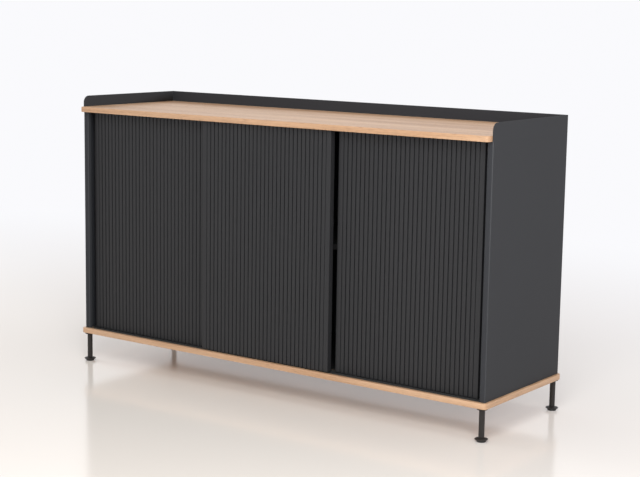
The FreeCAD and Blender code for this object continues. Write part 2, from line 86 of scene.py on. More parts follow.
# The floor: half its width, its gloss, and where it fades, by distance and by Y in front
FLOOR_REACH = 40.0
FLOOR_ROUGHNESS = 0.14
FLOOR_SPECULAR = 0.6
FADE_CENTRE = (-0.6, -1.2, 0.0)
FADE_BY_DISTANCE = (1.0, 4.4)
FADE_IN_FRONT = (-1.2, -2.2)

# Each lamp: width of its disc, its place and the point that it faces
LAMPS = {
    "overhead": (2.6, (0.4, -0.25, 3.6), (0, 0, 0.4)),
    "front": (1.6, (1.5, -2.6, 2.6), (0.1, -0.2, 0.6)),
    "right": (1.6, (2.7, -2.6, 1.2), (0.3, -0.2, 0.4)),
    "left": (2.0, (-3.8, -0.2, 1.6), (0, 0, 0.2)),
    "edge": (0.8, (3.2, -1.6, 1.05), (0.7, -0.2, 0.5)),
}

# Width of the camera's sensor in millimetres
SENSOR_WIDTH = 36.0


# Settings

def length(name, description, default):
    return FloatProperty(
        name=name, description=description, default=default, unit="LENGTH", precision=5, min=0
    )


def colour(name, description, default):
    return FloatVectorProperty(
        name=name, description=description, default=default, subtype="COLOR", size=4, min=0, max=1
    )


def power(name, description, default):
    return FloatProperty(name=name, description=description, default=default, min=0, unit="POWER")


def angle(name, description, default):
    return FloatProperty(name=name, description=description, default=default, subtype="ANGLE")


class ShellSettings(bpy.types.PropertyGroup):
    sheet: length("Sheet", "Thickness of the folded steel", 0.003)
    bend: length("Bend", "Outer radius of the four upright bends", 0.0035)
    flange: length("Flange", "Width of the front flange beside the doors", 0.018)
    lip_depth: length("Lip depth", "How far the flange turns in", 0.012)
    lip_bend: length("Lip bend", "Outer radius between flange and lip", 0.0035)
    rim_corner: length("Rim corner", "Radius of the rim's two front corners", 0.020)
    edge: length("Cut edge", "Chamfer of the rim's cut edge", 0.0006)
    coat: colour("Coat", "Powder coat on the steel", (0.0275, 0.0292, 0.0340, 1))


class BoardSettings(bpy.types.PropertyGroup):
    top_corner: length("Top corner", "Radius of the top's front corners", 0.011)
    top_back_corner: length("Top back corner", "Radius of the top's corners in the bends", 0.003)
    base_corner: length("Base corner", "Radius of the base's four corners", 0.012)
    ease: length("Eased edge", "Rounding of the edges above and below", 0.0012)
    screw_seat: length("Screw seat", "Radius of the pits for the screw heads", 0.0046)
    screw_depth: length("Screw depth", "Depth of the pits for the screw heads", 0.004)
    light: colour("Light oak", "Early wood", (0.585, 0.387, 0.25, 1))
    dark: colour("Dark oak", "Late wood", (0.415, 0.244, 0.14, 1))
    pore: colour("Pores", "Open pores along the grain", (0.20, 0.115, 0.065, 1))


class DoorSettings(bpy.types.PropertyGroup):
    ribs: IntProperty(name="Ribs", description="Ribs on each door", default=30, min=1)
    groove: length("Groove", "Gap between two ribs", 0.0025)
    rib_round: length("Rib rounding", "Rounding of a rib's front edges", 0.002)
    stile_round: length("Stile rounding", "Rounding of a stile's front edges", 0.0016)
    lacquer: colour("Lacquer", "Painted ribs and stiles", (0.0190, 0.0195, 0.0215, 1))
    backing: colour("Backing", "Painted panel behind the ribs", (0.0190, 0.0195, 0.0215, 1))


class LegSettings(bpy.types.PropertyGroup):
    stud: length("Stud", "Radius of the threaded end and the spigot", 0.004)
    neck: length("Foot neck", "Radius of the foot where the leg stands on it", 0.0105)
    rim_level: length("Foot rim", "Height of the foot's rim above the floor", 0.0066)
    rim: length("Rim edge", "Thickness of the foot's rim", 0.0016)
    ease: length("Eased edge", "Chamfer of turned edges", 0.0006)
    coat: colour("Coat", "Powder coat on the legs and feet", (0.0145, 0.0122, 0.0112, 1))
    pad: colour("Pad", "Moulded pad under each foot", (0.020, 0.020, 0.020, 1))


class InsideSettings(bpy.types.PropertyGroup):
    # Painted shade: thickness of the dark sheets that darken the base inside the bays
    shade_lining: length("Lining", "Thickness of the dark lining on the base", 0.0004)
    # The panel colour also paints the shade sheets on the base
    panel: colour("Panels", "Painted uprights, shelves and lining", (0.023, 0.023, 0.024, 1))
    track: colour("Tracks", "Dark anodised channels", (0.035, 0.035, 0.036, 1))
    glide: colour("Glides", "Moulded glides and guides", (0.025, 0.025, 0.026, 1))
    rubber: colour("Stops", "Rubber door stops", (0.018, 0.018, 0.018, 1))
    steel: colour("Steel", "Plated screws, studs, nuts and pins", (0.55, 0.55, 0.54, 1))
    brass: colour("Brass", "Threaded inserts", (0.66, 0.47, 0.20, 1))
    beech_light: colour("Beech", "Light wood of the dowels", (0.60, 0.43, 0.29, 1))
    beech_dark: colour("Dark beech", "Dark wood of the dowels", (0.48, 0.32, 0.20, 1))


class StageSettings(bpy.types.PropertyGroup):
    floor: colour("Floor", "Floor round the sideboard", (0.82, 0.785, 0.76, 1))
    far_floor: colour("Far floor", "Distant floor and background", (0.955, 0.955, 0.98, 1))
    warm: colour("Warm light", "Tint of the light from all round", (1, 0.82, 0.71, 1))
    white: colour("White light", "Tint of the lamps in front and on the right", (0.98, 1, 0.985, 1))
    cool: colour("Cool light", "Tint of the lamps above and on the left", (0.82, 0.96, 1, 1))
    sky: FloatProperty(
        name="Sky", description="Strength of the light from all round", default=0.50, min=0
    )
    overhead: power("Overhead", "Power of the lamp above", 21)
    front: power("Front", "Power of the high lamp in front", 70)
    right: power("Right", "Power of the low lamp in front on the right", 69)
    left: power("Left", "Power of the lamp on the left", 50)
    edge: power("Edge", "Power of the lamp that draws a light line on the bends of the shell", 230)
    eye: FloatVectorProperty(
        name="Camera", description="Place of the camera", default=(2.60887, -3.55331, 1.13757),
        subtype="TRANSLATION", unit="LENGTH",
    )
    lens: FloatProperty(
        name="Lens", description="Focal length in millimetres", default=83.679, min=1, unit="CAMERA"
    )
    yaw: angle("Yaw", "Turn to the left", 0.625929)
    pitch: angle("Pitch", "Tilt downward", 0.155111)
    roll: angle("Roll", "Lean of the camera", 0.015564)


SETTINGS = {
    "shell": ShellSettings,
    "boards": BoardSettings,
    "doors": DoorSettings,
    "legs": LegSettings,
    "inside": InsideSettings,
    "stage": StageSettings,
}


class SideboardSettings(bpy.types.PropertyGroup):
    shell: PointerProperty(type=ShellSettings)
    boards: PointerProperty(type=BoardSettings)
    doors: PointerProperty(type=DoorSettings)
    legs: PointerProperty(type=LegSettings)
    inside: PointerProperty(type=InsideSettings)
    stage: PointerProperty(type=StageSettings)


# Shader nodes

def place(tree, kind, inputs, **options):
    """Adds a node; an input is a value or the output that it is linked to."""
    made = tree.nodes.new(kind)
    for name, value in options.items():
        setattr(made, name, value)
    for key, value in inputs.items():
        if isinstance(value, bpy.types.NodeSocket):
            tree.links.new(value, made.inputs[key])
        else:
            made.inputs[key].default_value = value
    return made


def node_of(tree, kind):
    return next(node for node in tree.nodes if node.type == kind)


def calculate(tree, operation, *values):
    return place(tree, "ShaderNodeMath", dict(enumerate(values)), operation=operation).outputs[0]


def noise(tree, vector, scale, detail, distortion=0.0):
    inputs = {"Vector": vector, "Scale": scale, "Detail": detail, "Distortion": distortion}
    return place(tree, "ShaderNodeTexNoise", inputs).outputs[0]


def streaks(tree, vector, along, across, detail, distortion=0.0):
    """Noise drawn out along X; along and across say how often it changes in a metre."""
    inputs = {"Vector": vector, "Scale": (along, across, across)}
    drawn = place(tree, "ShaderNodeMapping", inputs).outputs[0]
    return noise(tree, drawn, 1.0, detail, distortion)


def centred(tree, value):
    """Noise that varies about 0 instead of a half."""
    return calculate(tree, "SUBTRACT", value, 0.5)


def ramp(tree, value, low, high, start=0.0, end=1.0, shape="LINEAR"):
    inputs = {0: value, 1: low, 2: high, 3: start, 4: end}
    return place(tree, "ShaderNodeMapRange", inputs, interpolation_type=shape).outputs[0]


def blend(tree, factor, first, second):
    inputs = {0: factor, 6: first, 7: second}
    return place(tree, "ShaderNodeMix", inputs, data_type="RGBA").outputs[2]


def toned(tree, tint, value):
    """A colour made lighter or darker by a value about 1."""
    inputs = {"Color": tint, "Value": value}
    return place(tree, "ShaderNodeHueSaturation", inputs).outputs[0]


COLOUR = "NodeSocketColor"
VALUE = "NodeSocketFloat"
FINISH_OUTPUTS = {"Colour": COLOUR, "Roughness": VALUE, "Height": VALUE}


def finish_group(name, inputs, draw):
    """A node group, made once, in which a function draws colour, roughness and height."""
    known = bpy.data.node_groups.get(name)
    if known:
        return known
    tree = bpy.data.node_groups.new(name, "ShaderNodeTree")
    for way, sockets in (("INPUT", inputs), ("OUTPUT", FINISH_OUTPUTS)):
        for label, kind in sockets.items():
            tree.interface.new_socket(name=label, in_out=way, socket_type=kind)
    given = tree.nodes.new("NodeGroupInput").outputs
    result = tree.nodes.new("NodeGroupOutput").inputs
    for label, value in zip(FINISH_OUTPUTS, draw(tree, given)):
        tree.links.new(value, result[label])
    return tree


def draw_coat(tree, given):
    """Fine orange peel of a sprayed or moulded surface, with a slow drift of tone."""
    clouds_per_metre = 4.0
    speck_depth = 0.22
    spot = place(tree, "ShaderNodeTexCoord", {}).outputs["Object"]
    fine = noise(tree, spot, given["Grain"], detail=2)
    cloud = noise(tree, spot, clouds_per_metre, detail=3)
    peel = centred(tree, fine)
    speck = calculate(tree, "MULTIPLY_ADD", peel, speck_depth, 1.0)
    drift = calculate(tree, "MULTIPLY", centred(tree, cloud), given["Tone drift"])
    value = calculate(tree, "ADD", speck, drift)
    gloss = calculate(tree, "MULTIPLY_ADD", peel, given["Roughness spread"], given["Roughness"])
    return toned(tree, given["Colour"], value), gloss, fine


def draw_wood(tree, given):
    """Straight grain along X, turned along Y on the boards' ends, with bands, fibres and pores."""
    facing_of_ends = 0.7
    streak_depth = 0.9
    pore_roughness = 0.16
    fibre_height = 0.35
    coordinates = place(tree, "ShaderNodeTexCoord", {}).outputs
    facing = place(tree, "ShaderNodeSeparateXYZ", {0: coordinates["Normal"]}).outputs["X"]
    at_end = calculate(tree, "GREATER_THAN", calculate(tree, "ABSOLUTE", facing), facing_of_ends)
    spot = place(tree, "ShaderNodeSeparateXYZ", {0: coordinates["Object"]}).outputs
    swapped = {"X": spot["Y"], "Y": spot["X"], "Z": spot["Z"]}
    turned = place(tree, "ShaderNodeCombineXYZ", swapped).outputs[0]
    inputs = {0: at_end, 4: coordinates["Object"], 5: turned}
    grain = place(tree, "ShaderNodeMix", inputs, data_type="VECTOR").outputs[1]
    bands = streaks(tree, grain, along=0.7, across=15, detail=4, distortion=0.5)
    streak = streaks(tree, grain, along=2.2, across=95, detail=3)
    fibre = streaks(tree, grain, along=9, across=420, detail=3)
    pores = streaks(tree, grain, along=38, across=1050, detail=2)
    band = ramp(tree, bands, low=0.33, high=0.67)
    pore = ramp(tree, pores, low=0.58, high=0.70)
    dark_share = calculate(tree, "MULTIPLY_ADD", centred(tree, streak), streak_depth, band)
    wood = blend(tree, dark_share, given["Light"], given["Dark"])
    openness = ramp(tree, band, low=0.0, high=1.0, start=0.25, end=0.75)
    wood = blend(tree, calculate(tree, "MULTIPLY", pore, openness), wood, given["Pore"])
    value = ramp(tree, fibre, low=0.3, high=0.7, start=0.93, end=1.07)
    gloss = calculate(tree, "MULTIPLY_ADD", pore, pore_roughness, given["Roughness"])
    height = calculate(tree, "SUBTRACT", calculate(tree, "MULTIPLY", fibre, fibre_height), pore)
    return toned(tree, wood, value), gloss, height


def draw_metal(tree, given):
    """Fine lines along X that a drawn or turned metal surface shows."""
    roughness_spread = 0.2
    spot = place(tree, "ShaderNodeTexCoord", {}).outputs["Object"]
    lines = streaks(tree, spot, along=12, across=2600, detail=2)
    value = ramp(tree, lines, low=0.3, high=0.7, start=0.88, end=1.12)
    spread = centred(tree, lines)
    gloss = calculate(tree, "MULTIPLY_ADD", spread, roughness_spread, given["Roughness"])
    return toned(tree, given["Colour"], value), gloss, lines


# Finishes

def new_finish(name, group, values, bump, metalness=0.0, specular=0.5):
    """A material whose colour, roughness and relief come from a group."""
    known = bpy.data.materials.get(name)
    if known:
        return known
    finish = bpy.data.materials.new(name)
    finish.use_nodes = True
    tree = finish.node_tree
    surface = node_of(tree, "BSDF_PRINCIPLED")
    effect = place(tree, "ShaderNodeGroup", values, node_tree=group).outputs
    relief = {"Strength": 1.0, "Distance": bump, "Height": effect["Height"]}
    bumped = place(tree, "ShaderNodeBump", relief).outputs[0]
    tree.links.new(effect["Colour"], surface.inputs["Base Color"])
    tree.links.new(effect["Roughness"], surface.inputs["Roughness"])
    tree.links.new(bumped, surface.inputs["Normal"])
    surface.inputs["Metallic"].default_value = metalness
    surface.inputs["Specular IOR Level"].default_value = specular
    return finish


def coated(name, tint, roughness, grain, bump, specular=0.5):
    """A sprayed or moulded finish; grain is how often its peel changes in a metre."""
    group = finish_group("Coat grain", {
        "Colour": COLOUR,
        "Tone drift": VALUE,
        "Roughness": VALUE,
        "Roughness spread": VALUE,
        "Grain": VALUE,
    }, draw_coat)
    values = {
        "Colour": tint,
        "Tone drift": TONE_DRIFT,
        "Roughness": roughness,
        "Roughness spread": GLOSS_SPREAD,
        "Grain": grain,
    }
    return new_finish(name, group, values, bump, specular=specular)


def wooden(name, light, dark, pore, roughness, bump):
    group = finish_group("Wood grain", {
        "Light": COLOUR,
        "Dark": COLOUR,
        "Pore": COLOUR,
        "Roughness": VALUE,
    }, draw_wood)
    values = {"Light": light, "Dark": dark, "Pore": pore, "Roughness": roughness}
    return new_finish(name, group, values, bump)


def metallic(name, tint, roughness, bump):
    group = finish_group("Drawn metal", {"Colour": COLOUR, "Roughness": VALUE}, draw_metal)
    values = {"Colour": tint, "Roughness": roughness}
    return new_finish(name, group, values, bump, metalness=1.0)


# Mesh work

def rectangle(left, right, front, back):
    """The corners of a box seen from above, counter-clockwise from the front left."""
    return [(left, front), (right, front), (right, back), (left, back)]


def circle(centre, radius, count):
    turns = [2 * math.pi * i / count for i in range(count)]
    return [
        (centre.x + radius * math.cos(turn), centre.y + radius * math.sin(turn)) for turn in turns
    ]


def at_level(outline, level):
    return [(*spot, level) for spot in outline]


def skin(mesh, rings, closed_ends=True):
    """Joins rings of points by four-sided faces; closed ends get a face each."""
    loops = [[mesh.verts.new(spot) for spot in ring] for ring in rings]
    count = len(loops[0])
    for low, high in zip(loops, loops[1:]):
        for i in range(count):
            j = (i + 1) % count
            mesh.faces.new((low[i], low[j], high[j], high[i]))
    if closed_ends:
        mesh.faces.new(reversed(loops[0]))
        mesh.faces.new(loops[-1])
    return loops


def upright(mesh, outline, low, high):
    """A prism between two levels."""
    skin(mesh, [at_level(outline, low), at_level(outline, high)])


def lathe(mesh, profile, centre):
    """Turns (radius, height) points about the upright line through the centre."""
    skin(mesh, [at_level(circle(centre, radius, LATHE_SIDES), level) for radius, level in profile])


def ring_edges(mesh, loop):
    return [mesh.edges.get((loop[i - 1], loop[i])) for i in range(len(loop))]


def eased(points, radii, steps=EASE_STEPS):
    """Replaces the corners of a closed outline by arcs; a radius of 0 keeps the corner."""
    outline = []
    for i, (corner, radius) in enumerate(zip(points, radii)):
        corner = Vector(corner)
        if radius == 0:
            outline.append(corner)
            continue
        back = (Vector(points[i - 1]) - corner).normalized()
        ahead = (Vector(points[(i + 1) % len(points)]) - corner).normalized()
        half_turn = back.angle(ahead) / 2
        reach = radius / math.tan(half_turn)
        middle = corner + (back + ahead).normalized() * radius / math.sin(half_turn)
        start = corner + back * reach - middle
        end = corner + ahead * reach - middle
        sweep = start.angle_signed(end)
        for step in range(steps + 1):
            turn = Matrix.Rotation(-sweep * step / steps, 2)
            outline.append(middle + turn @ start)
    return outline


def crease(mesh):
    """Keeps corners crisp under smooth shading."""
    for edge in mesh.edges:
        if len(edge.link_faces) == 2 and edge.calc_face_angle() > CREASE:
            edge.smooth = False


def loose_boxes(node):
    """The box of each separate solid of a CAD node."""
    mesh = bmesh.new()
    mesh.from_mesh(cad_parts[node].data)
    bmesh.ops.remove_doubles(mesh, verts=mesh.verts, dist=SOLID_WELD)
    unseen = set(mesh.verts)
    boxes = []
    for first in mesh.verts:
        if first not in unseen:
            continue
        unseen.remove(first)
        stack = [first]
        members = []
        while stack:
            vertex = stack.pop()
            members.append(vertex.co.copy())
            for edge in vertex.link_edges:
                other = edge.other_vert(vertex)
                if other in unseen:
                    unseen.remove(other)
                    stack.append(other)
        low = Vector(min(spot[axis] for spot in members) for axis in range(3))
        high = Vector(max(spot[axis] for spot in members) for axis in range(3))
        boxes.append((low, high))
    mesh.free()
    return boxes


def new_piece(name, mesh, finish, body, nodes):
    """Turns the mesh into a piece that moves with a body and stands for CAD nodes, if any."""
    bmesh.ops.recalc_face_normals(mesh, faces=mesh.faces)
    crease(mesh)
    data = bpy.data.meshes.new(name)
    mesh.to_mesh(data)
    mesh.free()
    data.shade_smooth()
    data.materials.append(finish)
    piece = bpy.data.objects.new(name, data)
    bpy.context.scene.collection.objects.link(piece)
    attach(piece, body)
    if nodes:
        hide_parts(*nodes)


def paint_nodes(finish, *nodes):
    """Gives CAD nodes that stay in view their finish."""
    for name in nodes:
        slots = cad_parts[name].material_slots
        if not slots:
            raise RuntimeError(f"{name} has no material slot")
        for slot in slots:
            slot.material = finish


# Steel shell

def bent_path(corners, sheet):
    """Outer and inner points along a folded sheet. A corner is (x, y, bend radius), an end (x, y)."""
    spots = [Vector(corner[:2]) for corner in corners]
    first = (spots[1] - spots[0]).normalized()
    path = [(spots[0], spots[0] + sheet * Vector((-first.y, first.x)))]
    for i in range(1, len(spots) - 1):
        before = (spots[i] - spots[i - 1]).normalized()
        radius = corners[i][2]
        inward = Vector((-before.y, before.x))
        middle = spots[i] - before * radius + inward * radius
        for step in range(BEND_STEPS + 1):
            out = Matrix.Rotation(QUARTER_TURN * step / BEND_STEPS, 2) @ -inward
            path.append((middle + out * radius, middle + out * (radius - sheet)))
    last = (spots[-1] - spots[-2]).normalized()
    path.append((spots[-1], spots[-1] + sheet * Vector((-last.y, last.x))))
    return path


def fold_sheet(mesh, path, low, tops, edge):
    """A sheet that stands on its path, with its upper cut edge chamfered."""
    rings = []
    for (outer, inner), top in zip(path, tops):
        across = (inner - outer).normalized() * edge
        rings.append([
            (*outer, low),
            (*outer, top - edge),
            (*(outer + across), top),
            (*(inner - across), top),
            (*inner, top - edge),
            (*inner, low),
        ])
    skin(mesh, rings)


def lip_end(settings):
    """X and Y of the end of the right lip."""
    low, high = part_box("steel_shell")
    return high.x - settings.flange, low.y + settings.lip_depth


def fold_walls(mesh, settings, low, high, top):
    """Back, sides, flanges and lips, up to the underside of the oak top."""
    lip_x, lip_y = lip_end(settings)
    path = bent_path([
        (lip_x, lip_y),
        (lip_x, low.y, settings.lip_bend),
        (high.x, low.y, settings.bend),
        (high.x, high.y, settings.bend),
        (low.x, high.y, settings.bend),
        (low.x, low.y, settings.bend),
        (-lip_x, low.y, settings.lip_bend),
        (-lip_x, lip_y),
    ], settings.sheet)
    fold_sheet(mesh, path, low.z, [top] * len(path), 0.0)


def fold_rim(mesh, settings, low, high, bottom):
    """Back and sides from the underside of the oak top upward, with two rounded corners."""
    path = bent_path([
        (high.x, low.y),
        (high.x, high.y, settings.bend),
        (low.x, high.y, settings.bend),
        (low.x, low.y),
    ], settings.sheet)
    corner = settings.rim_corner
    turns = [QUARTER_TURN * i / BEND_STEPS for i in range(1, BEND_STEPS + 1)]
    steps = [corner * (1 - math.cos(turn)) for turn in turns]
    right = [tuple(spot + Vector((0, step)) for spot in path[0]) for step in steps]
    left = [tuple(spot + Vector((0, step)) for spot in path[-1]) for step in reversed(steps)]
    path = [path[0], *right, *path[1:-1], *left, path[-1]]
    tops = []
    for pair in path:
        short = max(0.0, corner - (pair[0].y - low.y))
        tops.append(high.z - corner + math.sqrt(corner * corner - short * short))
    fold_sheet(mesh, path, bottom, tops, settings.edge)


def build_shell(settings):
    low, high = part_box("steel_shell")
    top_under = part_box("top_board")[0].z
    mesh = bmesh.new()
    fold_walls(mesh, settings, low, high, top_under)
    fold_rim(mesh, settings, low, high, top_under)
    bmesh.ops.remove_doubles(mesh, verts=mesh.verts, dist=SHEET_WELD)
    finish = coated(
        "Powder coated steel", settings.coat, roughness=0.60, grain=1500, bump=0.00003, specular=0.18
    )
    new_piece("folded_shell", mesh, finish, "carcass", ["steel_shell"])


# Oak boards

def rounded_plan(low, high, radii, inset):
    """The outline of a board seen from above, drawn in by an inset."""
    corners = rectangle(low.x + inset, high.x - inset, low.y + inset, high.y - inset)
    return eased(corners, [radius - inset for radius in radii], BEND_STEPS)


def sink(mesh, outline, level, floor):
    """A pit in a board's face: its walls and floor. Gives back the edges of its mouth."""
    bottom, mouth = skin(mesh, [at_level(outline, floor), at_level(outline, level)], False)
    mesh.faces.new(bottom)
    return ring_edges(mesh, mouth)


def slot_outline(front, rear):
    """The groove in a board that takes a front and a rear track."""
    low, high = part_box(front)[0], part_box(rear)[1]
    return rectangle(low.x, high.x, low.y, high.y)


def build_board(node, radii, ease, pits, finish):
    """A board with rounded corners and eased edges. A pit is (outline, is on top, depth)."""
    low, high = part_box(node)
    turns = [QUARTER_TURN * i / EASE_STEPS for i in range(EASE_STEPS + 1)]
    rows = [(ease * (1 - math.sin(turn)), low.z + ease * (1 - math.cos(turn))) for turn in turns]
    rows += [(inset, low.z + high.z - level) for inset, level in reversed(rows)]
    mesh = bmesh.new()
    rings = [at_level(rounded_plan(low, high, radii, inset), level) for inset, level in rows]
    loops = skin(mesh, rings, False)
    for loop, on_top in ((loops[0], False), (loops[-1], True)):
        level = high.z if on_top else low.z
        edges = ring_edges(mesh, loop)
        for edge in edges:
            edge.smooth = False
        for outline, pit_on_top, depth in pits:
            if pit_on_top == on_top:
                floor = level - depth if on_top else level + depth
                edges += sink(mesh, outline, level, floor)
        if len(edges) == len(loop):
            mesh.faces.new(loop)
        else:
            normal = (0, 0, 1 if on_top else -1)
            bmesh.ops.triangle_fill(mesh, edges=edges, use_beauty=True, normal=normal)
    new_piece(f"oak_{node}", mesh, finish, "carcass", [node])


def build_boards(settings):
    finish = wooden(
        "Oiled oak", settings.light, settings.dark, settings.pore, roughness=0.38, bump=0.00012
    )
    low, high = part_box("track_lower_front")
    depth = high.z - low.z
    upper = [(slot_outline("track_upper_front", "track_upper_rear"), False, depth)]
    lower = [(slot_outline("track_lower_front", "track_lower_rear"), True, depth)]
    for low, high in loose_boxes("panel_screws"):
        seat = circle((low + high) / 2, settings.screw_seat, PIT_SIDES)
        lower.append((seat, False, settings.screw_depth))
    top_radii = [settings.top_corner] * 2 + [settings.top_back_corner] * 2
    build_board("top_board", top_radii, settings.ease, upper, finish)
    build_board("base_board", [settings.base_corner] * 4, settings.ease, lower, finish)


# Doors

def rounded_bar(mesh, left, right, low, high, radius):
    """An upright bar between two X values, with its two front edges rounded."""
    corners = rectangle(left, right, low.y, high.y)
    upright(mesh, eased(corners, [radius, radius, 0, 0]), low.z, high.z)


def build_doors(settings):
    paint = {"grain": 1100, "bump": 0.00003, "specular": 0.3}
    lacquer = coated("Door lacquer", settings.lacquer, roughness=0.45, **paint)
    backing = coated("Door backing", settings.backing, roughness=0.60, **paint)
    for side in SIDES:
        body = f"{side}_door"
        low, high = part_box(f"{body}_slats")
        pitch = (high.x - low.x + settings.groove) / settings.ribs
        mesh = bmesh.new()
        for i in range(settings.ribs):
            left = low.x + i * pitch
            right = left + pitch - settings.groove
            rounded_bar(mesh, left, right, low, high, settings.rib_round)
        new_piece(f"{body}_ribs", mesh, lacquer, body, [f"{body}_slats"])
        for hand in ("left", "right"):
            node = f"{body}_stile_{hand}"
            low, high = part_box(node)
            mesh = bmesh.new()
            rounded_bar(mesh, low.x, high.x, low, high, settings.stile_round)
            new_piece(f"{body}_edge_{hand}", mesh, lacquer, body, [node])
        paint_nodes(backing, f"{body}_panel")


# Legs and feet

def half_width(low, high):
    return (high.x - low.x) / 2


def turned_piece(name, profile, corner, finish, node):
    """A round piece about the axis of the leg at a corner."""
    low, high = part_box(f"leg_{corner}")
    mesh = bmesh.new()
    lathe(mesh, profile, (low + high) / 2)
    new_piece(name, mesh, finish, "carcass", [node])


def turn_leg(settings, corner, finish):
    """A bar with a spigot below and a threaded stud above."""
    ease, stud = settings.ease, settings.stud
    node = f"leg_{corner}"
    low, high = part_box(node)
    bar = half_width(low, high)
    foot_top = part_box(f"foot_{corner}")[1].z
    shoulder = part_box("leg_collars")[0].z
    profile = [
        (stud, low.z),
        (stud, foot_top),
        (bar - ease, foot_top),
        (bar, foot_top + ease),
        (bar, shoulder - ease),
        (bar - ease, shoulder),
        (stud, shoulder),
        (stud, high.z),
    ]
    turned_piece(f"leg_bar_{corner}", profile, corner, finish, node)


def turn_foot(settings, corner, finish):
    """A dished foot with a hole for the leg's spigot."""
    ease, stud, neck = settings.ease, settings.stud, settings.neck
    node = f"foot_{corner}"
    low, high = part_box(node)
    rim = half_width(low, high)
    pad = half_width(*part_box(f"glide_pad_{corner}"))
    spigot_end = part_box(f"leg_{corner}")[0].z
    under = settings.rim_level
    over = under + settings.rim
    profile = [
        (pad, low.z),
        (rim - ease, under - ease / 2),
        (rim, under + ease / 2),
        (rim, over - ease / 2),
        (rim - ease, over + ease / 4),
        (neck + ease, high.z - ease / 4),
        (neck - ease, high.z),
        (stud, high.z),
        (stud, spigot_end),
    ]
    turned_piece(f"dished_foot_{corner}", profile, corner, finish, node)


def turn_pad(settings, corner, finish):
    """A floor pad with its lower edge rounded."""
    ease = settings.ease
    node = f"glide_pad_{corner}"
    low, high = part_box(node)
    pad = half_width(low, high)
    profile = [
        (pad - ease, low.z),
        (pad - ease / 3, low.z + ease / 3),
        (pad, low.z + ease),
        (pad, high.z),
    ]
    turned_piece(f"floor_pad_{corner}", profile, corner, finish, node)


def turn_collars(settings, finish):
    """The discs between the legs and the base."""
    ease = settings.ease
    shoulder, board_under = (end.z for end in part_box("leg_collars"))
    mesh = bmesh.new()
    for low, high in loose_boxes("leg_collars"):
        disc = half_width(low, high)
        profile = [(disc - ease, shoulder), (disc, shoulder + ease), (disc, board_under)]
        lathe(mesh, profile, (low + high) / 2)
    new_piece("collars", mesh, finish, "carcass", ["leg_collars"])


def build_legs(settings):
    coat = coated("Leg coat", settings.coat, roughness=0.55, grain=1800, bump=0.00002)
    plastic = coated("Floor pad", settings.pad, roughness=0.65, grain=2200, bump=0.00004)
    for corner in CORNERS:
        turn_leg(settings, corner, coat)
        turn_foot(settings, corner, coat)
        turn_pad(settings, corner, plastic)
    turn_collars(settings, coat)


# Inside and fittings

def shade_bays(thickness, shell, finish):
    """Painted shade: a thin dark sheet on the base between each two uprights and beside the ends of
    the tracks.
    """
    walls = [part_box(node) for node in UPRIGHTS]
    mesh = bmesh.new()
    for (low, high), (next_low, next_high) in zip(walls, walls[1:]):
        outline = rectangle(high.x, next_low.x, low.y, next_high.y)
        upright(mesh, outline, low.z, low.z + thickness)
    low, high = walls[-1]
    track_low, track_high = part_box("track_lower_front")
    lip_x, lip_y = lip_end(shell)
    outline = [
        (lip_x, track_low.y),
        (lip_x, lip_y),
        (high.x, lip_y),
        (high.x, low.y),
        (track_high.x, low.y),
        (track_high.x, track_low.y),
    ]
    for side in (1, -1):
        upright(mesh, [(side * x, y) for x, y in outline], low.z, low.z + thickness)
    # Painted shade: dark sheets over the oak where the inside of the bays lies in shade
    new_piece("bay_shade_sheets", mesh, finish, "carcass", [])


def finish_inside(settings, shell):
    panel = coated("Painted panel", settings.panel, roughness=0.55, grain=900, bump=0.00003)
    paint_nodes(panel, *UPRIGHTS, *SHELVES)
    # Dark sheets in the panel's finish paint the shade on the base inside the bays
    shade_bays(settings.shade_lining, shell, panel)
    track = coated("Dark anodised track", settings.track, roughness=0.50, grain=1500, bump=0.00002)
    paint_nodes(track, *TRACKS)
    glide = coated("Moulded glide", settings.glide, roughness=0.40, grain=2600, bump=0.00002)
    for side in SIDES:
        paint_nodes(glide, f"{side}_door_glides", f"{side}_door_guides")
    rubber = coated("Rubber stop", settings.rubber, roughness=0.85, grain=1600, bump=0.00006)
    paint_nodes(rubber, "door_stops")
    steel = metallic("Plated steel", settings.steel, roughness=0.32, bump=0.00001)
    paint_nodes(steel, *FASTENERS)
    brass = metallic("Brass insert", settings.brass, roughness=0.30, bump=0.00001)
    paint_nodes(brass, "leg_inserts")
    light, dark = settings.beech_light, settings.beech_dark
    beech = wooden("Beech dowel", light, dark, dark, roughness=0.6, bump=0.0001)
    paint_nodes(beech, "top_dowels")


# Stage

def seen_rays(tree):
    """1 for rays that show the background, also in gloss and through glass, 0 for rays that light."""
    rays = place(tree, "ShaderNodeLightPath", {}).outputs
    glossy = calculate(tree, "MAXIMUM", rays["Is Glossy Ray"], rays["Is Transmission Ray"])
    return calculate(tree, "MAXIMUM", rays["Is Camera Ray"], glossy)


